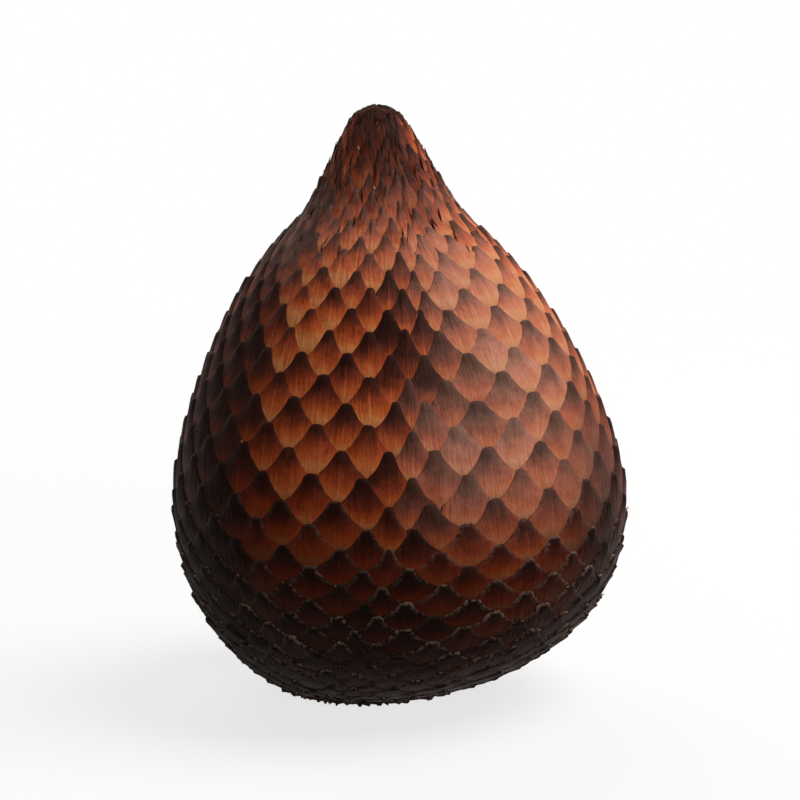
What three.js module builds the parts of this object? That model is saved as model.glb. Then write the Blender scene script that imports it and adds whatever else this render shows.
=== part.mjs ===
// Snake fruit (salak), one whole fruit standing on its round end with the pointed stalk end up.
// Millimetres, +Z up. The origin is the centre of the small flat spot that the fruit rests on.
// The rind is one solid: overlapping scales cover it in staggered rows, and each scale's free
// tip points up, towards the stalk.
import * as THREE from "three";

// Outline of the body, as a section through the stalk shows it.
const height = 72;
const restRadius = 8.5; // flat spot under the fruit
const restRun = 6.5; // how far the underside runs on outwards before it climbs
const restRise = 1.8;
const bellyRadius = 27.4;
const bellyHeight = 23.9; // where the fruit is thickest
const bellyBelow = 15.9; // pull of the belly's curve, down and up
const bellyAbove = 8.7;
const neckRadius = 11; // where the bulging shoulder turns into the hollow flank of the neck
const neckHeight = 57.4;
const neckSlope = 1.14; // outward run for each millimetre down, at that point
const neckBelow = 7.8;
const neckAbove = 3.4;
const stalkRadius = 2.4; // broken end of the stalk
const stalkHeight = 71;
const stalkRun = 3;
const stalkDrop = 3.25;

// The section's centre moves sideways with height: the fruit bulges to +X, and its tip leans back.
const bellyShift = 6.6;
const bellyShiftHeight = 5.3;
const shoulderShift = 5;
const shoulderShiftHeight = 20;
const tipShift = 2.1;
const lobeSwell = 0.018; // three seed lobes show as a slight swelling, a share of the radius
const lobeTurn = 0.6;

// Scales.
const columns = 26; // scales in one ring
const widestPitch = 2.95; // between rows above the belly
const lowPitch = 1.95; // between rows below it
const pitchTurnsFrom = 17; // height over which the rows draw apart
const pitchTurnsTo = 29;
const pitchFade = 7; // girth radius over which the rows close up towards both ends
const tipLift = 0.62; // free tip above the rind
const tipLiftNeck = 0.3;
const neckScalesFrom = 50; // height over which the tips sink to the neck's lift
const neckScalesTo = 65;
const tipStep = 0.16; // share of a row from a tip to the rind that it overhangs

// Outline from the edge of the flat spot, round the belly and up the neck to the stalk.
function outline() {
  const at = (radius, z) => new THREE.Vector2(radius, z);
  const underside = new THREE.CubicBezierCurve(
    at(restRadius, 0),
    at(restRadius + restRun, restRise),
    at(bellyRadius, bellyHeight - bellyBelow),
    at(bellyRadius, bellyHeight),
  );
  const shoulder = new THREE.CubicBezierCurve(
    at(bellyRadius, bellyHeight),
    at(bellyRadius, bellyHeight + bellyAbove),
    at(neckRadius + neckBelow * neckSlope, neckHeight - neckBelow),
    at(neckRadius, neckHeight),
  );
  const neck = new THREE.CubicBezierCurve(
    at(neckRadius, neckHeight),
    at(neckRadius - neckAbove * neckSlope, neckHeight + neckAbove),
    at(stalkRadius + stalkRun, stalkHeight - stalkDrop),
    at(stalkRadius, stalkHeight),
  );
  const path = new THREE.CurvePath();
  path.curves.push(underside, shoulder, neck);
  return path.getPoints(160);
}

// Outline points at the rows of scales: each step is one row, and rows close up where the girth is
// small. The first two rows edge the flat spot and carry no scales.
function rowPoints(points) {
  const rows = [points[0].clone()];
  let travelled = 0;
  for (let i = 1; i < points.length; i += 1) {
    const from = points[i - 1];
    const to = points[i];
    const apart = THREE.MathUtils.smoothstep(from.y, pitchTurnsFrom, pitchTurnsTo);
    const thick = 1 - Math.exp(-(from.x + to.x) / 2 / pitchFade);
    const pitch = THREE.MathUtils.lerp(lowPitch, widestPitch, apart) * thick;
    const before = travelled;
    travelled += from.distanceTo(to) / pitch;
    if (travelled >= rows.length) {
      rows.push(from.clone().lerp(to, (rows.length - before) / (travelled - before)));
    }
  }
  return rows;
}

// Sideways place of the section's centre, as points (x, z) from the flat spot to the tip.
const spine = new THREE.CubicBezierCurve(
  new THREE.Vector2(0, 0),
  new THREE.Vector2(bellyShift, bellyShiftHeight),
  new THREE.Vector2(shoulderShift, shoulderShiftHeight),
  new THREE.Vector2(tipShift, height),
).getPoints(200);

function spineAt(z) {
  const next = Math.max(1, spine.findIndex((point) => point.y >= z));
  const from = spine[next - 1];
  const to = spine[next];
  return THREE.MathUtils.mapLinear(z, from.y, to.y, from.x, to.x);
}

// A point of the rind at this outline radius and height, turned about the spine by angle.
function rindPoint(radius, z, angle) {
  const lobe = lobeSwell * Math.cos(3 * angle + lobeTurn) * Math.sin((Math.PI * z) / height);
  const reach = radius * (1 + lobe);
  return new THREE.Vector3(spineAt(z) + reach * Math.cos(angle), reach * Math.sin(angle), z);
}

// The rind some share of the way between two rows, raised along the outline's normal.
function raisedPoint(from, to, share, lift, angle) {
  const at = from.clone().lerp(to, share);
  const along = to.clone().sub(from).normalize();
  return rindPoint(at.x + along.y * lift, Math.max(at.y - along.x * lift, 0), angle);
}

// One closed surface. Every scale has a raised tip, and a foot, which is the rind just above that
// tip. A scale's face runs from its tip to the feet of the three scales below it, and two narrow
// faces close the step between the tip and its own foot.
function scalyRind() {
  const rows = rowPoints(outline());
  const lastRow = rows.length - 2;
  const positions = [];
  const indices = [];
  const addVertex = (point) => positions.push(...point) / 3 - 1;
  const addRing = (row, share, lift) =>
    Array.from({ length: columns }, (_, column) => {
      const angle = ((column + (row % 2) / 2) * 2 * Math.PI) / columns;
      return addVertex(raisedPoint(rows[row], rows[row + 1], share, lift, angle));
    });

  const feet = [addRing(0, 0, 0), addRing(1, 0, 0)];
  const foot = (row, column) => feet[row][(column + columns) % columns];
  for (let row = 2; row <= lastRow; row += 1) {
    const narrowing = THREE.MathUtils.smoothstep(rows[row].y, neckScalesFrom, neckScalesTo);
    const tips = addRing(row, 0, THREE.MathUtils.lerp(tipLift, tipLiftNeck, narrowing));
    feet.push(addRing(row, tipStep, 0));
    for (let column = 0; column < columns; column += 1) {
      const tip = tips[column];
      const right = foot(row - 1, column + (row % 2)); // odd rows stand half a scale further round
      const left = foot(row - 1, column + (row % 2) - 1);
      const below = foot(row - 2, column);
      const above = foot(row, column);
      indices.push(tip, left, below, tip, below, right);
      indices.push(tip, right, above, tip, above, left);
    }
  }

  // The flat spot below and the broken stalk above are fans over the last two rings at each end.
  const restCentre = addVertex(new THREE.Vector3(0, 0, 0));
  const stalkCentre = addVertex(rindPoint(0, height, 0));
  const odd = lastRow % 2;
  for (let column = 0; column < columns; column += 1) {
    indices.push(restCentre, foot(0, column + 1), foot(0, column));
    indices.push(foot(0, column), foot(0, column + 1), foot(1, column));
    indices.push(stalkCentre, foot(lastRow, column), foot(lastRow - 1, column + odd));
    indices.push(stalkCentre, foot(lastRow - 1, column + odd - 1), foot(lastRow, column));
  }

  const geometry = new THREE.BufferGeometry();
  geometry.setAttribute("position", new THREE.Float32BufferAttribute(positions, 3));
  geometry.setIndex(indices);
  geometry.computeVertexNormals();
  return geometry;
}

const fruit = new THREE.Mesh(
  scalyRind(),
  new THREE.MeshStandardMaterial({ color: 0x5a2a18, roughness: 0.45, metalness: 0 }),
);
fruit.name = "snake_fruit";

const group = new THREE.Group();
group.add(fruit);
export default group;
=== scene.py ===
# Snake fruit (salak), one whole fruit on its round end, dressed scale by scale.
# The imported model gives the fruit's place and height. The scales are surfaces worked out here.
import math

import bpy
import numpy as np
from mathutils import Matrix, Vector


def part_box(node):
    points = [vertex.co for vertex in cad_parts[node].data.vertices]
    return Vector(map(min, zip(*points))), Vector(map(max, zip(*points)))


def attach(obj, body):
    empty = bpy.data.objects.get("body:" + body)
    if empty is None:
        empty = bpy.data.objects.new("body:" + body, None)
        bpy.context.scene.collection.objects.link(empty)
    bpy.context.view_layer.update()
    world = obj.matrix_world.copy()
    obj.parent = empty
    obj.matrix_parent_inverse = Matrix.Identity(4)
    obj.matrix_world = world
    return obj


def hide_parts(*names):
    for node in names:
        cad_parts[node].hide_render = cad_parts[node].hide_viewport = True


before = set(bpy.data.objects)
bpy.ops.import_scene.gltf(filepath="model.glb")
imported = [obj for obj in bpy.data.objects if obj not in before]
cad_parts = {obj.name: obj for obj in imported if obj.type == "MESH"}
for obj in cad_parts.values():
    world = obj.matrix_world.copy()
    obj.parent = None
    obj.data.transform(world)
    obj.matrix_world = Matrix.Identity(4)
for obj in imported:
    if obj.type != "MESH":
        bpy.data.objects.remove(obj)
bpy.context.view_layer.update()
fruitLow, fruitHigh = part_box("snake_fruit")
mm = (fruitHigh.z - fruitLow.z) / 72  # the fruit is 72 of its millimetres tall
rng = np.random.default_rng(7)
print("frame loaded, one millimetre is", round(mm, 6), "m")


def linear(hexColour):
    # sRGB hex to linear: each channel below 0.04045 over 12.92, the rest ((c + 0.055) / 1.055) ^ 2.4
    channels = [int(hexColour[i : i + 2], 16) / 255 for i in (1, 3, 5)]
    return tuple(c / 12.92 if c <= 0.04045 else ((c + 0.055) / 1.055) ** 2.4 for c in channels) + (1,)


def smooth(x, low, high):
    # 0 below low, 1 above high, and 3t^2 - 2t^3 between them
    t = np.clip((x - low) / (high - low), 0, 1)
    return t * t * (3 - 2 * t)


def addNode(tree, kind, settings=None, sockets=None):
    # one node: settings are its properties, sockets are values or the outputs that feed it
    node = tree.nodes.new(kind)
    for name, value in (settings or {}).items():
        setattr(node, name, value)
    for name, value in (sockets or {}).items():
        if isinstance(value, bpy.types.NodeSocket):
            tree.links.new(value, node.inputs[name])
        else:
            node.inputs[name].default_value = value
    return node


def fillRamp(ramp, stops):
    # stops are (position, hex); a new ramp has two stops to start with
    while len(ramp.elements) < len(stops):
        ramp.elements.new(0.5)
    for element, (position, hexColour) in zip(ramp.elements, stops):
        element.position = position
        element.color = linear(hexColour)


# The body under the scales, in millimetres: the same outline and spine as the solid.
body = dict(
    height=72, restRadius=8.5, restRun=6.5, restRise=1.8,
    bellyRadius=27.4, bellyHeight=23.9, bellyBelow=15.9, bellyAbove=8.7,
    neckRadius=11, neckHeight=57.4, neckSlope=1.14, neckBelow=7.8, neckAbove=3.4,
    stalkRadius=2.4, stalkHeight=71, stalkRun=3, stalkDrop=3.25,
    spine=[(0, 0), (6.6, 5.3), (5, 20), (2.1, 72)],
    lobeSwell=0.018, lobeTurn=0.6,
    columns=26, widestPitch=2.95, lowPitch=1.95, pitchTurns=(17, 29), pitchFade=7,
    restSink=0.55, restSinkFade=1.5,  # the flat spot's rind lies this far above the table, on its tips
)


def bezier(points, count):
    # cubic curve through its end points: Bernstein weights of the four control points
    t = np.linspace(0, 1, count)[:, None]
    a, b, c, d = np.array(points, float)
    return (1 - t) ** 3 * a + 3 * t * (1 - t) ** 2 * b + 3 * t**2 * (1 - t) * c + t**3 * d


def bodyOutline():
    # (radius, height) from the middle of the flat spot to the stalk, and the row of scales at each
    # point: rows pass at a pitch of 1 - e^(-radius / pitchFade) times widestPitch, or lowPitch below
    b = body
    rest, belly, neck, stalk = b["restRadius"], b["bellyRadius"], b["neckRadius"], b["stalkRadius"]
    bellyZ, neckZ, stalkZ, slope = b["bellyHeight"], b["neckHeight"], b["stalkHeight"], b["neckSlope"]
    flat = np.stack([np.linspace(0.4, rest, 60), np.zeros(60)], 1)
    underside = bezier([(rest, 0), (rest + b["restRun"], b["restRise"]),
                        (belly, bellyZ - b["bellyBelow"]), (belly, bellyZ)], 200)
    shoulder = bezier([(belly, bellyZ), (belly, bellyZ + b["bellyAbove"]),
                       (neck + b["neckBelow"] * slope, neckZ - b["neckBelow"]), (neck, neckZ)], 200)
    top = bezier([(neck, neckZ), (neck - b["neckAbove"] * slope, neckZ + b["neckAbove"]),
                  (stalk + b["stalkRun"], stalkZ - b["stalkDrop"]), (stalk, stalkZ)], 200)
    points = np.vstack([flat, underside[1:], shoulder[1:], top[1:]])
    step = np.hypot(*np.diff(points, axis=0).T)
    middle = (points[1:] + points[:-1]) / 2
    apart = smooth(middle[:, 1], *b["pitchTurns"])
    pitch = b["lowPitch"] + (b["widestPitch"] - b["lowPitch"]) * apart
    pitch = pitch * (1 - np.exp(-middle[:, 0] / b["pitchFade"]))
    rows = np.concatenate([[0], np.cumsum(step / pitch)])
    along = np.gradient(points, axis=0)
    along /= np.hypot(along[:, 0], along[:, 1])[:, None]
    return rows, points, along


outlineRows, outlinePoints, outlineAlong = bodyOutline()
lastRow = outlineRows[-1]
spinePoints = bezier(body["spine"], 200)

# How the grown lattice departs from a regular one. Columns are scales round the fruit, counted
# from +X towards +Y, so the front is at three quarters of the way round.
lattice = dict(
    seamColumn=19.7, seamWidth=0.6, seamSqueeze=0.35,  # narrow scales where two lobes' rows meet
    seamLean=0.088, seamHeight=27.5,  # columns that it moves over for each row, and where it is true
    seamDisorder=0.05,  # share of a scale by which those at the seam are out of place
    neckDisorder=0.15,  # the same, for the small scales of the neck
    broadColumn=21.9, broadWidth=1.5, broadSwell=0.45,  # broad scales beside them
    evenColumn=15, backColumn=6.5, backWidth=4.2,  # as regular as the rest, and where the room is found
    broadLeast=0.33, broadHeights=(30, 46),  # share of that low down, and where it opens out
    seamDark=0.2, darkLean=0.1,  # how dead its scales look, and how far those lean, in columns a row
    deadDark=0.46, deadColumn=20.1, deadWidth=1.0, deadHeight=48.5, deadReach=5.5,  # dead patch beside it
    waver=0.025, rowWaver=0.06,  # slow wander of columns and of rows, in scales
)


def latticeTurn(swell):
    # angle at each column: the running sum of a pitch that dips at the seam, swells beside it and
    # gives the difference back behind, so that the even columns stand alike whatever the swell
    count = body["columns"]
    columns = np.linspace(0, count, 521)
    centres = np.array([[lattice["seamColumn"]], [lattice["broadColumn"]], [lattice["backColumn"]]])
    away = (columns - centres + count / 2) % count - count / 2
    change = swell * np.exp(-((away[1] / lattice["broadWidth"]) ** 4))
    change -= lattice["seamSqueeze"] * np.exp(-((away[0] / lattice["seamWidth"]) ** 2))
    back = np.exp(-((away[2] / lattice["backWidth"]) ** 4))
    change -= back * change[1:].sum() / back[1:].sum()
    extra = np.concatenate([[0], np.cumsum((change[1:] + change[:-1]) / 2)]) * count / 520
    extra -= np.interp(lattice["evenColumn"], columns, extra)
    return columns, (columns + extra) / count * 2 * math.pi


turnColumns, turnHigh = latticeTurn(lattice["broadSwell"])
turnLow = latticeTurn(lattice["broadSwell"] * lattice["broadLeast"])[1]
seamRow = np.interp(lattice["seamHeight"], outlinePoints[:, 1], outlineRows)
waverPhases = rng.uniform(0, 2 * math.pi, (2, 4))


def bodyPoint(column, row, lift):
    # A point over the rind, in metres. The row gives radius and height on the outline, the column
    # gives the angle about the spine, and lift moves the point out along the outline's normal.
    wander = np.zeros((2,) + np.broadcast(column, row).shape)
    for k, (around, up) in enumerate([(1, 0.15), (2, 0.12), (3, 0.25), (5, 0.2)]):
        swing = around * 2 * math.pi * column / body["columns"]
        wander[0] += np.sin(swing + up * row + waverPhases[0, k])
        wander[1] += np.sin(swing - up * row + waverPhases[1, k])
    column = column + lattice["waver"] * wander[0]
    row = np.clip(row + lattice["rowWaver"] * wander[1] * smooth(row, 1, 6), 0, lastRow)
    radius, z = (np.interp(row, outlineRows, outlinePoints[:, k]) for k in (0, 1))
    slant = lattice["seamLean"] * (row - seamRow)
    whole, part = np.divmod(column - slant, body["columns"])
    angle, opened = np.interp(part, turnColumns, turnLow), np.interp(part, turnColumns, turnHigh)
    angle = angle + (opened - angle) * smooth(z, *lattice["broadHeights"])
    angle = angle + (whole + slant / body["columns"]) * 2 * math.pi
    outward, inward = (np.interp(row, outlineRows, outlineAlong[:, k]) for k in (1, 0))
    lobe = body["lobeSwell"] * np.cos(3 * angle + body["lobeTurn"]) * np.sin(math.pi * z / body["height"])
    reach = radius * (1 + lobe) + outward * lift
    x = np.interp(z, spinePoints[:, 1], spinePoints[:, 0]) + reach * np.cos(angle)
    y = reach * np.sin(angle)
    high = z - inward * lift + body["restSink"] * np.exp(-z / body["restSinkFade"])
    return np.stack([x, y, np.maximum(high, 0)], -1) * mm


def rowPitch(rows):
    # millimetres along the outline from one row to the next
    steps = np.hypot(*np.diff(outlinePoints, axis=0).T) / np.diff(outlineRows)
    return np.interp(rows, outlineRows[1:], steps)


def columnPitch(rows):
    # millimetres round the fruit from one column to the next, if all were alike
    return np.interp(rows, outlineRows, outlinePoints[:, 0]) * 2 * math.pi / body["columns"]


def addPiece(name, points, loops, sizes, material, rounded=None):
    # one mesh object from flat arrays: points, then the corners of all faces, then each face's size;
    # rounded tells which faces are shaded smooth, and it is all of them if it isn't given
    mesh = bpy.data.meshes.new(name)
    mesh.vertices.add(len(points))
    mesh.vertices.foreach_set("co", np.ascontiguousarray(points, np.float32).ravel())
    mesh.loops.add(len(loops))
    mesh.loops.foreach_set("vertex_index", np.ascontiguousarray(loops, np.int32))
    mesh.polygons.add(len(sizes))
    starts = np.concatenate([[0], np.cumsum(sizes)[:-1]])
    mesh.polygons.foreach_set("loop_start", starts.astype(np.int32))
    mesh.polygons.foreach_set("use_smooth", np.ones(len(sizes), bool) if rounded is None else rounded)
    mesh.update(calc_edges=True)
    mesh.materials.append(material)
    piece = bpy.data.objects.new(name, mesh)
    bpy.context.scene.collection.objects.link(piece)
    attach(piece, "root")
    return piece


def addValues(piece, kind, key, **values):
    # values for each vertex, under each name: kind and key are Blender's words for one entry
    for name, value in values.items():
        layer = piece.data.attributes.new(name, kind, "POINT")
        layer.data.foreach_set(key, np.ascontiguousarray(value, np.float32).ravel())


def addBakeMap(piece, corners):
    layer = piece.data.uv_layers.new(name="OFBake")
    layer.uv.foreach_set("vector", np.ascontiguousarray(corners, np.float32).ravel())


# Salak rind is a dry horny skin grown as scales, satin where it is smooth and matt where it is
# worn. It gives the eye nearly black dead tips, and thin bases that let an orange through.
scaleSkin = dict(
    ramp=[(0.0, "#220E0B"), (0.2, "#32150F"), (0.38, "#5C281A"), (0.58, "#983E20"), (0.78, "#C45C2D"),
          (0.92, "#D0703A"), (1, "#D88A52")],
    # tint multiplies the ramp by height in millimetres: darker towards the foot, partly the fruit's own
    # darker colour and partly painted shade on its underside, and darker on the neck
    tint=[(0, "#1E1917"), (7, "#261E1C"), (13, "#483A36"), (20, "#7E6862"), (28, "#E0D2CC"),
          (34, "#FFFFFF"), (46, "#FFFFFF"), (54, "#F8F0EA"), (60, "#E4CEC4"), (66, "#8E766E"),
          (72, "#5A4842")],
    fibreWidth=0.45,  # fibres of the horny layer, drawn several times as coarse as they are
    mottleSize=1.8, blotchSize=7,  # millimetres
    mottleShare=0.5, blotchShare=0.38,  # how far each moves a colour along the ramp
    fibreShare=0.16, neckFibreShare=0.75,
    # a pale line down each keel, partly the scale's own pale midrib and partly a painted highlight along the
    # ridge
    keelWidth=0.13, keelShare=0.22,
    # pale rim colour: worn edges, and partly a painted highlight on the edges
    wornAndLitRim="#A88C7A", rimPatchSize=0.5, rimPatchFrom=0.4, rimPatchTo=0.54,
    roughTip=0.72, roughBase=0.5,
    specular=0.03, sheen=0.03, sheenRough=0.5, sheenTint="#FFCDBE",
    # painted sheen: a pale pink veil painted where the lamps' light glances off the skin, most on the broad
    # scales and thin at their tips
    bloom="#CFA08C", bloomShare=0.6, bloomTip=0.45,
    neckPaintedSheen=0.22, neckThin=0.65, lowPaintedSheen=0.018, flankPaintedSheen=0.018,
    sheenPatchFrom=-0.1, sheenPatchTo=0.85,  # how patchy the painted sheen is
    reliefDepth=0.05, fibreRelief=1.7,  # millimetres, and the fibres' part beside the mottle's
)


def makeScaleSkin():
    skin = scaleSkin
    material = bpy.data.materials.new("salakHornyScale")
    material.use_nodes = True
    tree = material.node_tree
    tree.nodes.clear()
    read = {
        name: addNode(tree, "ShaderNodeAttribute", {"attribute_name": name})
        for name in ("tone", "tint", "rim", "keel", "keelAway", "fibreWay", "bloom", "streak")
    }
    place = addNode(tree, "ShaderNodeTexCoord").outputs["Object"]
    fibre = addNode(tree, "ShaderNodeTexNoise", None, {
        "Vector": read["fibreWay"].outputs["Vector"], "Scale": 1 / skin["fibreWidth"], "Detail": 3.0,
        "Roughness": 0.6}).outputs[0]
    mottle = addNode(tree, "ShaderNodeTexNoise", None, {
        "Vector": place, "Scale": 1 / (skin["mottleSize"] * mm), "Detail": 4.0,
        "Roughness": 0.65}).outputs[0]
    blotch = addNode(tree, "ShaderNodeTexNoise", None, {
        "Vector": place, "Scale": 1 / (skin["blotchSize"] * mm), "Detail": 1.0}).outputs[0]
    rimPatches = addNode(tree, "ShaderNodeTexNoise", None, {
        "Vector": place, "Scale": 1 / (skin["rimPatchSize"] * mm), "Detail": 2.0}).outputs[0]

    # the place on the ramp: tone runs from 0 at a tip to 1 at a base, and each pattern moves it
    tone = read["tone"].outputs["Fac"]
    middle = (skin["mottleShare"] + skin["blotchShare"]) / 2
    drawn = addNode(tree, "ShaderNodeMath", {"operation": "SUBTRACT"}, {0: fibre, 1: 0.5}).outputs[0]
    for pattern, share in ((drawn, read["streak"].outputs["Fac"]), (mottle, skin["mottleShare"]),
                           (blotch, skin["blotchShare"])):
        tone = addNode(tree, "ShaderNodeMath", {"operation": "MULTIPLY_ADD"}, {
            0: pattern, 1: share, 2: tone}).outputs[0]
    # the pale keel line: partly the scale's own colour, partly a painted highlight along the ridge
    line = addNode(tree, "ShaderNodeMapRange", None, {
        0: read["keelAway"].outputs["Fac"], 1: 0.0, 2: skin["keelWidth"], 3: skin["keelShare"],
        4: 0.0}).outputs[0]
    line = addNode(tree, "ShaderNodeMath", {"operation": "MULTIPLY_ADD"}, {
        0: line, 1: read["keel"].outputs["Fac"], 2: -middle}).outputs[0]
    tone = addNode(tree, "ShaderNodeMath", {"operation": "ADD", "use_clamp": True}, {
        0: tone, 1: line}).outputs[0]
    ramp = addNode(tree, "ShaderNodeValToRGB", None, {0: tone})
    fillRamp(ramp.color_ramp, skin["ramp"])
    ramp.color_ramp.interpolation = "B_SPLINE"
    colour = addNode(tree, "ShaderNodeMix", {"data_type": "RGBA", "blend_type": "MULTIPLY"}, {
        0: 1.0, 6: ramp.outputs[0], 7: read["tint"].outputs["Color"]}).outputs[2]

    # the painted sheen comes in patches
    sheenPatches = addNode(tree, "ShaderNodeMapRange", None, {
        0: mottle, 1: skin["sheenPatchFrom"], 2: skin["sheenPatchTo"]}).outputs[0]
    sheenPatches = addNode(tree, "ShaderNodeMath", {"operation": "MULTIPLY"}, {
        0: sheenPatches, 1: read["bloom"].outputs["Fac"]}).outputs[0]
    colour = addNode(tree, "ShaderNodeMix", {"data_type": "RGBA"}, {
        0: sheenPatches, 6: colour, 7: linear(skin["bloom"])}).outputs[2]

    # pale rims show in patches: partly worn and broken edges, partly a painted highlight where light catches
    # the edges
    wornAndLit = addNode(tree, "ShaderNodeMapRange", None, {
        0: rimPatches, 1: skin["rimPatchFrom"], 2: skin["rimPatchTo"]}).outputs[0]
    wornAndLit = addNode(tree, "ShaderNodeMath", {"operation": "MULTIPLY"}, {
        0: wornAndLit, 1: read["rim"].outputs["Fac"]}).outputs[0]
    colour = addNode(tree, "ShaderNodeMix", {"data_type": "RGBA"}, {
        0: wornAndLit, 6: colour, 7: linear(skin["wornAndLitRim"])}).outputs[2]

    rough = addNode(tree, "ShaderNodeMapRange", None, {
        0: tone, 1: 0.1, 2: 0.7, 3: skin["roughTip"], 4: skin["roughBase"]}).outputs[0]
    relief = addNode(tree, "ShaderNodeMath", {"operation": "MULTIPLY_ADD"}, {
        0: fibre, 1: skin["fibreRelief"], 2: mottle}).outputs[0]
    bump = addNode(tree, "ShaderNodeBump", None, {
        "Strength": 0.8, "Distance": skin["reliefDepth"] * mm * 4, "Height": relief})
    shader = addNode(tree, "ShaderNodeBsdfPrincipled", None, {
        "Base Color": colour, "Roughness": rough, "IOR": 1.5,
        "Specular IOR Level": skin["specular"], "Sheen Weight": skin["sheen"],
        "Sheen Roughness": skin["sheenRough"], "Sheen Tint": linear(skin["sheenTint"]),
        "Normal": bump.outputs[0]})
    addNode(tree, "ShaderNodeOutputMaterial", None, {0: shader.outputs[0]})
    return material


scaleMaterial = makeScaleSkin()


# One scale, measured in the lattice: fall is rows down from its tip, and side is -1 at its left
# edge and 1 at its right edge.
scaleForm = dict(
    falls=[0.004, 0.05, 0.16, 0.4, 0.75, 1.2, 1.75, 2.9],
    sides=[-1, -0.86, -0.45, 0, 0.45, 0.86, 1],
    tipHalf=0.13, knobHalf=0.02, tipLength=0.12,  # nose: half its width in columns, rounded over these rows
    flare=0.29, flarePower=1.6, knobFlare=0.75, widest=0.66,  # the flanks sweep out below the nose
    ridgeTop=0.62, ridgeFoot=0.1, ridgePower=1.1,  # millimetres over the rind, at tip and base
    edgeTop=0.17, edgeFall=0.04, edgeFoot=0.04,
    knobLow=22, knobFade=9, knobRidge=1.5,  # below this height the nose alone stands up, as a knob
    baseSink=0.14,  # the hidden end of the base lies this much deeper
    noseLength=0.22, tuck=0.02,  # the free end and the flanks round down into the scale behind
)


def scaleTemplate():
    # Faces of one scale over its vertex numbers, a grid on top and strips below it that share the
    # grid's edge, and where each corner lies in the scale's own square of the bake map.
    tall, wide = len(scaleForm["falls"]), len(scaleForm["sides"])
    r, c = np.meshgrid(np.arange(tall - 1), np.arange(wide - 1), indexing="ij")
    grid = np.stack([r * wide + c, (r + 1) * wide + c, (r + 1) * wide + c + 1, r * wide + c + 1], -1)
    r = np.arange(tall - 1) * wide
    strips = np.stack([r + wide, r, r + wide - 1, r + 2 * wide - 1], -1)
    nose = np.arange(wide)
    base = tall * wide - 1 - np.arange(wide)
    loops = np.concatenate([grid.ravel(), strips.ravel(), nose, base])
    sizes = np.concatenate([np.full(grid.shape[0] * grid.shape[1] + len(strips), 4), [wide, wide]])
    across = 0.06 + 0.88 * (np.array(scaleForm["sides"]) + 1) / 2
    down = 0.94 - 0.76 * np.arange(tall) / (tall - 1)
    square = np.stack([np.tile(across, tall), np.repeat(down, wide)], -1)[loops]
    hidden = np.arange(len(loops)) >= grid.size
    square[hidden, 1] = 0.03 + (square[hidden, 1] - 0.18) * 0.1
    return loops, sizes, square, np.arange(len(sizes)) < grid.shape[0] * grid.shape[1]


# How the scales of each band differ: how uneven they are, and how far their face and their edges
# rise. Bands are shares of all rows, from the flat spot to the stalk.
bands = dict(
    undersideScales=dict(rows=(0.0, 0.24), uneven=0.16, lift=0.55, edge=1.1),
    lowScales=dict(rows=(0.24, 0.47), uneven=0.2, lift=1.3, edge=1.1),
    bellyScales=dict(rows=(0.47, 0.62), uneven=0.06, lift=1, edge=1),
    shoulderScales=dict(rows=(0.62, 0.78), uneven=0.06, lift=1, edge=1),
    neckScales=dict(rows=(0.78, 1.01), uneven=0.1, lift=0.8, edge=1),
)
# pale rims, darkening low down and on the neck, painted shade on the left flank and at the foot, and how much
# lift scales keep
wearAndShade = dict(
    lowTop=16, lowFade=34, least=0.03, rimShare=0.75,  # pale rims, partly worn edges and partly painted highlight: heights between which they end
    # darkens the low knobbly scales: partly their own darker colour, partly painted shade on the underside
    lowDarkAndShade=0.1, neckDark=0.02,
    # painted shade: the dark foot lies this many millimetres lower at these degrees round from the front; the
    # negative ones stand for a neighbouring fruit's shadow on the right and the lamps' light falling off on
    # the left
    footShadeTurns=[(-180, 0), (-60, -9), (-28, -2), (0, 1), (30, 3), (48, -2), (63, -13), (80, -9),
               (110, -2), (180, 0)],
    # the left flank darker, painted shade where the lamps' light falls off there and partly its own darker
    # colour: the columns between which it comes and goes, and the same in degrees
    flankFrom=(11.5, 14.2), flankTo=(16, 17.2), flankTop=(57, 67), flankDarkAndShade=0.5,
    shadeFrom=(36, 50), shadeTo=(75, 111), shadeTop=(60, 68), flankShade=0.55,
    # share of lift lost towards the stalk, and round the foot but not where the fruit rests
    stalkFlat=0.55, stalkFlatFrom=(60, 69), footFlat=0.5, footFlatFrom=(0.6, 2.5), footFlatTo=(6, 14),
)
# bright bases where the shoulder turns into the neck
flame = dict(height=53, reach=5, rise=0.2, dull=0.42, dullColumn=19.4, dullWidth=1.1)


def keptLift(height):
    # share of their lift that scales keep: towards the stalk they lie closer to the fruit, and so do
    # those round its foot, but not the ones that it rests on
    foot = smooth(height, *wearAndShade["footFlatFrom"]) * (1 - smooth(height, *wearAndShade["footFlatTo"]))
    return 1 - wearAndShade["stalkFlat"] * smooth(height, *wearAndShade["stalkFlatFrom"]) - wearAndShade["footFlat"] * foot


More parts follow.
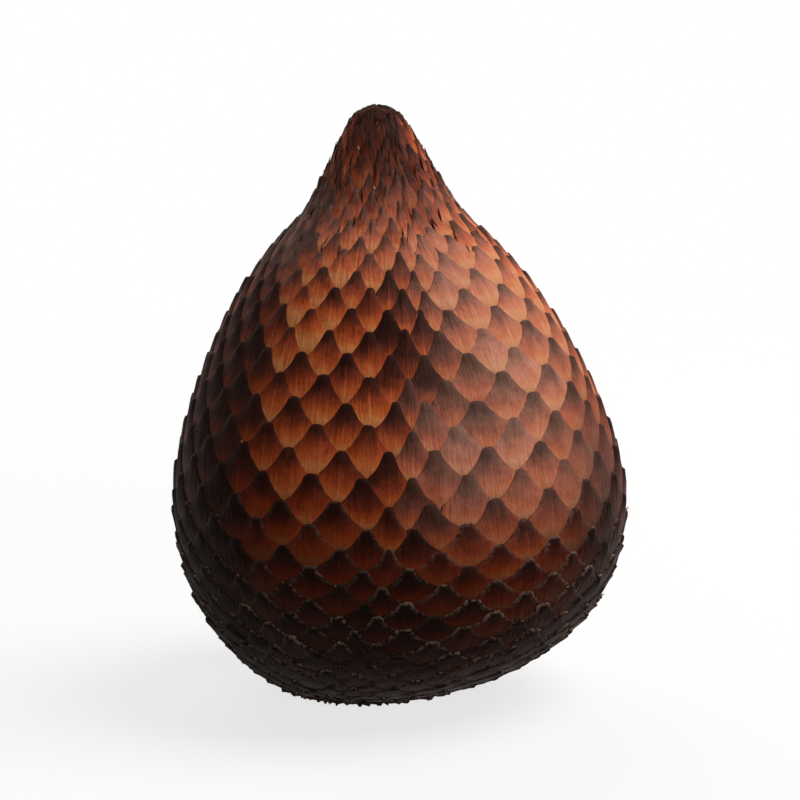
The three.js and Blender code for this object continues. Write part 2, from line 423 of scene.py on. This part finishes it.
def growScales(columns, rows, band):
    # Vertices of many scales at once, each an array of scale, fall and side, and the values that
    # their material reads. The ridge falls as (1 - fall / 2.1) ^ ridgePower, and faster on a knob. The
    # flanks fall from it as 1 - |side| ^ p, and p goes from 2 on the nose to 1 below it.
    form, n = scaleForm, len(columns)
    shape = (n, len(form["falls"]), len(form["sides"]))
    draw = lambda amount: rng.normal(0, amount, n)[:, None, None]
    seed = rng.uniform(0, 1, n)[:, None, None]
    fall = np.array(form["falls"])[None, :, None]
    side = np.array(form["sides"])[None, None, :]
    neck = smooth(rows / lastRow, 0.74, 0.92)[:, None, None]
    uneven = band["uneven"] * (1 + 1.3 * neck)
    rounded = np.sqrt(1 - (1 - np.minimum(fall / form["tipLength"], 1)) ** 2)
    height = np.interp(rows, outlineRows, outlinePoints[:, 1])[:, None, None]
    knob = 1 - smooth(height, form["knobLow"] - form["knobFade"], form["knobLow"] + form["knobFade"])
    half = (form["tipHalf"] + form["knobHalf"] * knob) * rounded * (1 + draw(1) * uneven)
    flare = np.minimum(fall, 1.3) ** (form["flarePower"] + form["knobFlare"] * knob)
    half = half + form["flare"] * flare * (1 + draw(1) * uneven)
    half = np.minimum(half, form["widest"])
    lean = draw(0.6) * uneven * (1 - fall / 2)
    column = columns[:, None, None] + half * side + lean
    row = rows[:, None, None] - fall + draw(0.8) * uneven * (1 - fall / 2)

    ridge = form["ridgeTop"] - form["ridgeFoot"]
    steep = form["ridgePower"] + form["knobRidge"] * knob
    ridge = form["ridgeFoot"] + ridge * np.maximum(1 - fall / 2.1, 0) ** steep
    edge = (form["edgeTop"] - form["edgeFall"] * fall) * (1 - smooth(fall, 1.1, 1.6)) * band["edge"]
    edge = np.minimum(edge + form["edgeFoot"], ridge)
    power = 1 + np.exp(-fall / 0.3)
    flank = 1 - (np.minimum(np.abs(side), 0.86) / 0.86) ** power
    lift = edge + (ridge - edge) * flank
    lift = np.where(np.abs(side) > 0.9, form["tuck"], lift)
    nose = np.sin(math.pi / 2 * np.minimum(fall / form["noseLength"], 1))
    lift = form["tuck"] + (lift - form["tuck"]) * nose
    lift = lift + rng.normal(0, 1, shape) * (0.012 + 0.02 * neck + 0.035 * knob)
    lift = lift * band["lift"] * (1 + draw(0.06) + draw(1) * neck * 0.25) * keptLift(height)
    lift = lift + draw(0.05) * side * half - form["baseSink"] * smooth(fall, 2, 2.9)

    pitch = rowPitch(rows)[:, None, None]
    acrossMm = half * side * columnPitch(rows)[:, None, None]
    fibreWay = np.stack(np.broadcast_arrays(acrossMm, fall * pitch * 0.13, seed * 90), -1)
    seamAway = (columns - lattice["seamColumn"] - lattice["seamLean"] * (rows - seamRow)
                + body["columns"] / 2) % body["columns"] - body["columns"] / 2
    dull = flame["dull"] * np.exp(-(((columns - flame["dullColumn"]) / flame["dullWidth"]) ** 2))
    local = flame["rise"] - dull[:, None, None]
    local = local * np.exp(-(((height - flame["height"]) / flame["reach"]) ** 2))
    # low knobbly scales darker, partly their own colour and partly painted shade on the underside
    local = local - wearAndShade["lowDarkAndShade"] * knob - wearAndShade["neckDark"] * smooth(height, 60, 67)
    seamAway = seamAway - (lattice["darkLean"] - lattice["seamLean"]) * (rows - seamRow)
    dark = lattice["seamDark"] * np.exp(-((seamAway / 1.1) ** 2))[:, None, None]
    local = local - dark * (1 - smooth(height, 46, 52))
    dark = lattice["deadDark"] * np.exp(-(((columns - lattice["deadColumn"]) / lattice["deadWidth"]) ** 2))
    fade = np.exp(-(((height - lattice["deadHeight"]) / lattice["deadReach"]) ** 2))
    dead = dark[:, None, None] * fade
    local = local - dead
    # the left flank darker: painted shade where the lamps' light falls off, partly its own darker colour
    flank = smooth(columns, *wearAndShade["flankFrom"]) * (1 - smooth(columns, *wearAndShade["flankTo"]))
    flank = flank[:, None, None] * (1 - smooth(height, *wearAndShade["flankTop"]))
    local = local - wearAndShade["flankDarkAndShade"] * flank
    even = smooth(height, 58, 65)  # on the neck a scale's tip and base are nearly one colour
    tone = (0.57 - 0.2 * even) * fall - 0.03 + 0.1 * even
    tone = tone + 0.05 * side**2 + (seed - 0.5) * 0.24 + local * np.minimum(fall, 1)
    keel = smooth(fall, 0.3, 0.9) * smooth(np.abs(draw(1)), 0.1, 1.2)
    # pale rims on the nose and the edges, partly worn and partly painted highlight, most low down
    rim = np.maximum(0.8 - fall / 0.16, smooth(np.abs(side), 0.6, 0.95) * (1 - fall / 1.1))
    low = 1 - (1 - wearAndShade["least"]) * smooth(height, wearAndShade["lowTop"], wearAndShade["lowFade"])
    rim = np.clip(rim, 0, 1) * low * wearAndShade["rimShare"] * smooth(np.abs(draw(1)), -0.3, 1)
    rim = np.broadcast_to(rim, shape)
    broad = np.exp(-(((columns - lattice["broadColumn"]) / 2.3) ** 2)) * smooth(columns, 19.2, 20.4)
    broad = broad[:, None, None]
    # lighter tips on the broad scales: painted sheen where the side lamp's light glances off them
    tone = tone + 0.12 * broad * (1 - np.minimum(fall, 1))
    # the pale pink veil of painted sheen: on the broad scales, on the neck, low down and on the left flank
    bloom = scaleSkin["bloomShare"] * broad * smooth(height, 23, 38) * (1 - smooth(height, 54, 66))
    thin = scaleSkin["bloomTip"] + (1 - scaleSkin["bloomTip"]) * smooth(tone, 0, 0.55)
    bloom = bloom * (1 - 2 * dead) * thin
    upper = smooth(height, 50, 60) * (1 - scaleSkin["neckThin"] * smooth(height, 62, 68))
    bloom = np.maximum(bloom, scaleSkin["neckPaintedSheen"] * upper)
    bloom = np.maximum(bloom, scaleSkin["lowPaintedSheen"] * (1 - smooth(height, 18, 32)))
    bloom = np.maximum(bloom, scaleSkin["flankPaintedSheen"] * flank)
    bloom = np.broadcast_to(bloom * (0.7 + 0.6 * seed), shape)
    values = [np.broadcast_to(v, shape) for v in (column, row, lift, tone, keel, np.abs(acrossMm))]
    streak = scaleSkin["fibreShare"] + (scaleSkin["neckFibreShare"] - scaleSkin["fibreShare"]) * even
    return values + [rim, fibreWay, bloom, np.broadcast_to(streak, shape)]


def makeScaleBand(name, columns, rows, band):
    loops, sizes, square, onTop = scaleTemplate()
    column, row, lift, tone, keel, away, rim, fibreWay, bloom, streak = growScales(columns, rows, band)
    n = len(columns)
    points = bodyPoint(column, row, lift).reshape(-1, 3)
    count = len(points) // n
    allLoops = (np.arange(n)[:, None] * count + loops[None, :]).ravel()
    piece = addPiece(name, points, allLoops, np.tile(sizes, n), scaleMaterial, np.tile(onTop, n))
    addValues(piece, "FLOAT", "value", tone=tone, keel=keel, keelAway=away, rim=rim, bloom=bloom,
              streak=streak)
    addValues(piece, "FLOAT_VECTOR", "vector", fibreWay=fibreWay)
    heights, hexes = zip(*scaleSkin["tint"])
    colours = np.array([linear(h) for h in hexes])
    level = points[:, 2] / mm
    across = points[:, 0] / mm - np.interp(level, spinePoints[:, 1], spinePoints[:, 0])
    turn = np.degrees(np.arctan2(across, -points[:, 1] / mm))
    # painted shade on the left flank, in the tint
    shade = smooth(-turn, *wearAndShade["shadeFrom"]) * (1 - smooth(-turn, *wearAndShade["shadeTo"]))
    shade = shade * (1 - smooth(level, *wearAndShade["shadeTop"]))
    # painted shade: the dark foot reaches higher where a neighbouring fruit's shadow and the lamps' falloff
    # darken it
    level = level + np.interp(turn, *zip(*wearAndShade["footShadeTurns"]))
    tint = np.stack([np.interp(level, heights, colours[:, k]) for k in range(4)], -1)
    tint = tint * (1 - wearAndShade["flankShade"] * shade[:, None])
    addValues(piece, "FLOAT_COLOR", "color", tint=tint)
    cells = math.ceil(math.sqrt(n))
    corner = np.stack([np.arange(n) % cells, np.arange(n) // cells], 1)
    addBakeMap(piece, (corner[:, None] + square[None]) / cells)
    print(name, n, "scales,", len(sizes), "faces each")


def makeScales():
    rowNumbers = np.arange(3, math.floor(lastRow) + 1)
    count = body["columns"]
    for name, band in bands.items():
        low, high = band["rows"]
        chosen = rowNumbers[(rowNumbers >= low * lastRow) & (rowNumbers < high * lastRow)]
        rows = np.repeat(chosen, count).astype(float)
        columns = np.tile(np.arange(count), len(chosen)) + (rows % 2) / 2
        seam = lattice["seamColumn"] + lattice["seamLean"] * (rows - seamRow)
        away = (columns - seam + count / 2) % count - count / 2
        disorder = lattice["seamDisorder"] * np.exp(-((away / 1.4) ** 2))
        disorder = disorder + lattice["neckDisorder"] * smooth(rows / lastRow, 0.8, 0.92)
        columns = columns + rng.normal(0, 1, len(rows)) * disorder
        rows = rows + rng.normal(0, 1, len(rows)) * disorder
        makeScaleBand(name, columns, rows, band)


# The same horny skin between the scales, seen only in chinks: brown, matt and finely wrinkled.
rindSkin = dict(lift=-0.16, deep="#1A0C08", raised="#4A2414", wrinkle=0.8, around=136, tall=150)


def makeRindSkin():
    material = bpy.data.materials.new("salakInnerRind")
    material.use_nodes = True
    tree = material.node_tree
    tree.nodes.clear()
    place = addNode(tree, "ShaderNodeTexCoord").outputs["Object"]
    wrinkle = addNode(tree, "ShaderNodeTexNoise", None, {
        "Vector": place, "Scale": 1 / (rindSkin["wrinkle"] * mm), "Detail": 4.0}).outputs[0]
    ramp = addNode(tree, "ShaderNodeValToRGB", None, {0: wrinkle})
    fillRamp(ramp.color_ramp, [(0.35, rindSkin["deep"]), (0.7, rindSkin["raised"])])
    bump = addNode(tree, "ShaderNodeBump", None, {"Strength": 0.6, "Distance": 0.2 * mm, "Height": wrinkle})
    shader = addNode(tree, "ShaderNodeBsdfPrincipled", None, {
        "Base Color": ramp.outputs[0], "Roughness": 0.7, "IOR": 1.5,
        "Specular IOR Level": 0.04, "Normal": bump.outputs[0]})
    addNode(tree, "ShaderNodeOutputMaterial", None, {0: shader.outputs[0]})
    return material


def closedTube(ring):
    # faces of a tube of rings, (rings, around) points, closed by a point at each end after them
    tall, around = ring
    r, c = np.meshgrid(np.arange(tall - 1), np.arange(around), indexing="ij")
    after = (c + 1) % around
    quads = np.stack([r * around + c, r * around + after, (r + 1) * around + after, (r + 1) * around + c], -1)
    c = np.arange(around)
    after = (c + 1) % around
    top = (tall - 1) * around
    south = np.stack([np.full(around, tall * around), after, c], -1)
    north = np.stack([np.full(around, tall * around + 1), top + c, top + after], -1)
    loops = np.concatenate([quads.ravel(), south.ravel(), north.ravel()])
    sizes = np.concatenate([np.full((tall - 1) * around, 4), np.full(2 * around, 3)])
    return loops, sizes


def makeRind():
    # the closed body just under the scales: rings of points on the outline, and a point at each pole
    around, tall = rindSkin["around"], rindSkin["tall"]
    column = np.arange(around) * body["columns"] / around
    row, column = np.meshgrid(np.linspace(0, lastRow, tall), column, indexing="ij")
    ring = bodyPoint(column, row, np.full(row.shape, rindSkin["lift"]))
    points = np.vstack([ring.reshape(-1, 3), ring[0].mean(0), ring[-1].mean(0)])
    rind = addPiece("rind", points, *closedTube((tall, around)), makeRindSkin())
    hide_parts("snake_fruit")
    print("rind", len(points), "points")


# Slender dry bits of the horny skin: the brittle prickle that each scale ends in, mostly broken
# off, and fibres torn loose on the neck.
slivers = dict(
    ringAt=[0.1, 0.45, 0.8], ringWidth=[0.8, 1, 0.5], around=4,
    prickles=dict(length=0.42, width=0.14, foot=0.03, rise=0.42,
                  # share of the scales that keep one, by height
                  often=[(8, 0.15), (14, 0.6), (20, 0.4), (32, 0.04), (72, 0.08)]),
    fibres=dict(count=220, length=1.9, width=0.1, foot=-0.04, rise=0.34, heights=(55, 67)),
    prickleColour="#B09274", fibreColour="#2C150E",
)


def makeDrySkin(name, colour):
    material = bpy.data.materials.new(name)
    material.use_nodes = True
    shader = material.node_tree.nodes["Principled BSDF"]
    shader.inputs["Base Color"].default_value = linear(colour)
    shader.inputs["Roughness"].default_value = 0.75
    shader.inputs["Specular IOR Level"].default_value = 0.04
    return material


def makeSlivers(name, columns, rows, lengths, widths, start, rise, material):
    # spindles of three rings and two points: each runs up the rows, and lifts by t * rise as it goes
    n, around = len(columns), slivers["around"]
    t = np.concatenate([np.repeat(slivers["ringAt"], around), [0, 1]])
    turn = np.concatenate([np.tile(np.arange(around), 3) / around * 2 * math.pi, [0, 0]])
    wide = np.concatenate([np.repeat(slivers["ringWidth"], around), [0, 0]])
    lean = rng.normal(0, 0.16, n)[:, None] * lengths[:, None] * t
    across = widths[:, None] * wide * np.cos(turn) + lean
    lift = start[:, None] + rise[:, None] * t - widths[:, None] * wide * np.sin(turn)
    points = bodyPoint(columns[:, None] + across / columnPitch(rows)[:, None],
                       rows[:, None] + lengths[:, None] * t / rowPitch(rows)[:, None], lift).reshape(-1, 3)
    loops, sizes = closedTube((3, around))
    allLoops = (np.arange(n)[:, None] * len(t) + loops[None, :]).ravel()
    addPiece(name, points, allLoops, np.tile(sizes, n), material)
    print(name, n, "slivers")


def makePrickles():
    form, count = slivers["prickles"], body["columns"]
    rows = np.repeat(np.arange(4, math.floor(lastRow)), count).astype(float)
    columns = np.tile(np.arange(count), len(rows) // count) + (rows % 2) / 2
    high = np.interp(rows, outlineRows, outlinePoints[:, 1])
    kept = rng.uniform(0, 1, len(rows)) < np.interp(high, *zip(*form["often"]))
    rows, columns, keep = rows[kept], columns[kept], keptLift(high[kept])
    size = rng.uniform(0.5, 1.2, len(rows))
    makeSlivers("dryPrickles", columns + rng.normal(0, 0.05, len(rows)), rows - 0.12, form["length"] * size,
                form["width"] * size, form["foot"] * keep, form["rise"] * size * keep,
                makeDrySkin("brokenPrickle", slivers["prickleColour"]))


def makeNeckFibres():
    form, n = slivers["fibres"], slivers["fibres"]["count"]
    low, high = (np.interp(h, outlinePoints[:, 1], outlineRows) for h in form["heights"])
    rows = rng.uniform(low, high, n)
    columns = rng.uniform(0, body["columns"], n)
    size = rng.uniform(0.4, 1.3, n)
    makeSlivers("neckFibres", columns, rows - 0.5, form["length"] * size, form["width"] * size,
                np.full(n, form["foot"]), form["rise"] * size,
                makeDrySkin("tornFibre", slivers["fibreColour"]))


# Where the fruit broke from its bunch: a blunt dome of torn fibre, dark and dry.
stalkScar = dict(
    foot=68.2, radius=3.7, top=71.9, power=2.05,  # millimetres
    furrows=11, furrowDepth=0.22, tear=0.28, around=48, tall=14,
    dark="#1C0D08", pale="#5A3222", fibre=0.3,
)


def makeStalkSkin():
    material = bpy.data.materials.new("driedStalkFibre")
    material.use_nodes = True
    tree = material.node_tree
    tree.nodes.clear()
    place = addNode(tree, "ShaderNodeTexCoord").outputs["Object"]
    drawn = addNode(tree, "ShaderNodeMapping", None, {0: place, 3: (1, 1, 0.25)}).outputs[0]
    fibre = addNode(tree, "ShaderNodeTexNoise", None, {
        "Vector": drawn, "Scale": 1 / (stalkScar["fibre"] * mm), "Detail": 4.0, "Roughness": 0.7}).outputs[0]
    ramp = addNode(tree, "ShaderNodeValToRGB", None, {0: fibre})
    fillRamp(ramp.color_ramp, [(0.4, stalkScar["dark"]), (0.72, stalkScar["pale"])])
    bump = addNode(tree, "ShaderNodeBump", None, {"Strength": 0.9, "Distance": 0.25 * mm, "Height": fibre})
    shader = addNode(tree, "ShaderNodeBsdfPrincipled", None, {
        "Base Color": ramp.outputs[0], "Roughness": 0.8, "IOR": 1.45,
        "Specular IOR Level": 0.04, "Normal": bump.outputs[0]})
    addNode(tree, "ShaderNodeOutputMaterial", None, {0: shader.outputs[0]})
    return material


def makeStalkScar():
    # radius = (1 - t ^ power) ^ (1 / power) of the foot's, t going up the dome, with furrows round it
    s = stalkScar
    t, turn = np.meshgrid(np.sin(np.linspace(0, math.pi / 2 - 0.06, s["tall"])),
                          np.arange(s["around"]) / s["around"] * 2 * math.pi, indexing="ij")
    reach = s["radius"] * (1 - t ** s["power"]) ** (1 / s["power"])
    reach += s["furrowDepth"] * np.sin(s["furrows"] * turn + 1.5 * np.sin(2 * turn)) * (1 - t**3)
    reach += rng.normal(0, 0.06, t.shape)
    z = s["foot"] + (s["top"] - s["foot"]) * t + s["tear"] * (np.sin(3 * turn + 1) * t**3 - t**3) / 2
    z += rng.normal(0, 0.05, t.shape) * t
    shift = np.interp(z, spinePoints[:, 1], spinePoints[:, 0])
    ring = np.stack([shift + reach * np.cos(turn), reach * np.sin(turn), z], -1) * mm
    points = np.vstack([ring.reshape(-1, 3), ring[0].mean(0), ring[-1].mean(0)])
    addPiece("stalkScar", points, *closedTube((s["tall"], s["around"])), makeStalkSkin())
    print("stalk scar", len(points), "points")


# Where the flower's style stood: a small dry knob sunk in the middle of the flat spot.
stylarScar = dict(radius=2.3, top=0.75, low=0.16, around=28, tall=7)  # millimetres


def makeStylarScar():
    # height = top - (top - low) * (1 - (r / radius) ^ 2), seen from below, r falling to the middle
    s = stylarScar
    t, turn = np.meshgrid(np.linspace(0, 0.94, s["tall"]),
                          np.arange(s["around"]) / s["around"] * 2 * math.pi, indexing="ij")
    reach = s["radius"] * np.cos(t * math.pi / 2) * (1 + 0.06 * np.sin(5 * turn))
    z = s["top"] - (s["top"] - s["low"]) * (1 - (reach / s["radius"]) ** 2) + rng.normal(0, 0.02, t.shape)
    ring = np.stack([reach * np.cos(turn), reach * np.sin(turn), np.maximum(z, 0.05)], -1)[::-1] * mm
    points = np.vstack([ring.reshape(-1, 3), ring[0].mean(0), ring[-1].mean(0)])
    addPiece("stylarScar", points, *closedTube((s["tall"], s["around"])),
             makeDrySkin("driedStyle", "#2A1811"))
    print("stylar scar", len(points), "points")


makeRind()
makeScales()
makeStalkScar()
makePrickles()
makeNeckFibres()
makeStylarScar()

# Stage: a pale floor, soft lamps and a camera a little above the fruit.
stage = dict(
    floorReach=3.0, floorNear=0.06, floorFar=0.4, floorGlow=0.75,
    worldStrength=0.035,
    # name, degrees round and up, metres away, metres across and watts
    lamps=[("keyLamp", 14, 14, 0.9, 0.5, 2.6), ("sideLamp", 97, 56, 0.8, 0.7, 6.8),
           ("backLamp", -162, 35, 0.9, 0.8, 3.8)],
    lens=118, cameraUp=9, cameraAway=0.32,
)


def backgroundSeen(tree):
    # 1 for rays from the camera, off gloss and through glass, 0 for those that only light things
    path = addNode(tree, "ShaderNodeLightPath")
    seen = addNode(tree, "ShaderNodeMath", {"operation": "MAXIMUM"}, {
        0: path.outputs["Is Camera Ray"], 1: path.outputs["Is Glossy Ray"]}).outputs[0]
    return addNode(tree, "ShaderNodeMath", {"operation": "MAXIMUM"}, {
        0: seen, 1: path.outputs["Is Transmission Ray"]}).outputs[0]


def makeFloor():
    mesh = bpy.data.meshes.new("floor")
    reach = stage["floorReach"]
    mesh.from_pydata([(-reach, -reach, 0), (reach, -reach, 0), (reach, reach, 0), (-reach, reach, 0)], [],
                     [(0, 1, 2, 3)])
    floor = bpy.data.objects.new("floor", mesh)
    bpy.context.scene.collection.objects.link(floor)
    material = bpy.data.materials.new("paleFloor")
    material.use_nodes = True
    tree = material.node_tree
    tree.nodes.clear()
    place = addNode(tree, "ShaderNodeTexCoord").outputs["Object"]
    far = addNode(tree, "ShaderNodeVectorMath", {"operation": "LENGTH"}, {0: place}).outputs["Value"]
    fade = addNode(tree, "ShaderNodeMapRange", {"interpolation_type": "SMOOTHSTEP"}, {
        0: far, 1: stage["floorNear"], 2: stage["floorFar"], 3: stage["floorGlow"], 4: 1.0}).outputs[0]
    seen = backgroundSeen(tree)
    colour = addNode(tree, "ShaderNodeMix", {"data_type": "RGBA"}, {
        0: seen, 6: linear("#4A4846"), 7: linear("#F4F3F1")}).outputs[2]
    matt = addNode(tree, "ShaderNodeBsdfDiffuse", None, {0: colour})
    white = addNode(tree, "ShaderNodeEmission", None, {0: (1, 1, 1, 1), 1: 1.0})
    blend = addNode(tree, "ShaderNodeMath", {"operation": "MULTIPLY"}, {
        0: fade, 1: seen}).outputs[0]
    mixed = addNode(tree, "ShaderNodeMixShader", None, {0: blend, 1: matt.outputs[0], 2: white.outputs[0]})
    addNode(tree, "ShaderNodeOutputMaterial", None, {0: mixed.outputs[0]})
    mesh.materials.append(material)


def makeWorld():
    world = bpy.data.worlds.new("studio")
    bpy.context.scene.world = world
    world.use_nodes = True
    tree = world.node_tree
    tree.nodes.clear()
    strength = addNode(tree, "ShaderNodeMix", {"data_type": "FLOAT"}, {
        0: backgroundSeen(tree), 2: stage["worldStrength"], 3: 1.0}).outputs[0]
    light = addNode(tree, "ShaderNodeBackground", None, {0: (1, 1, 1, 1), 1: strength})
    addNode(tree, "ShaderNodeOutputWorld", None, {0: light.outputs[0]})


middle = (fruitLow + fruitHigh) / 2


def aimed(name, data, azimuth, elevation, distance):
    # placed on a sphere about the fruit's middle, azimuth 0 in front of it, looking at the middle
    a, e = math.radians(azimuth), math.radians(elevation)
    offset = [math.sin(a) * math.cos(e), -math.cos(a) * math.cos(e), math.sin(e)]
    thing = bpy.data.objects.new(name, data)
    bpy.context.scene.collection.objects.link(thing)
    thing.location = [m + distance * o for m, o in zip(middle, offset)]
    thing.rotation_euler = (math.pi / 2 - e, 0, a)
    return thing


def makeLamp(name, azimuth, elevation, distance, size, power):
    lamp = bpy.data.lights.new(name, "AREA")
    lamp.shape = "DISK"
    lamp.size = size
    lamp.energy = power
    aimed(name, lamp, azimuth, elevation, distance)


makeFloor()
makeWorld()
for lamp in stage["lamps"]:
    makeLamp(*lamp)

lens = bpy.data.cameras.new("camera")
lens.lens = stage["lens"]
lens.clip_start = 0.01
bpy.context.scene.camera = aimed("camera", lens, 0, stage["cameraUp"], stage["cameraAway"])
bpy.context.scene.view_settings.view_transform = "Standard"
print("stage set")
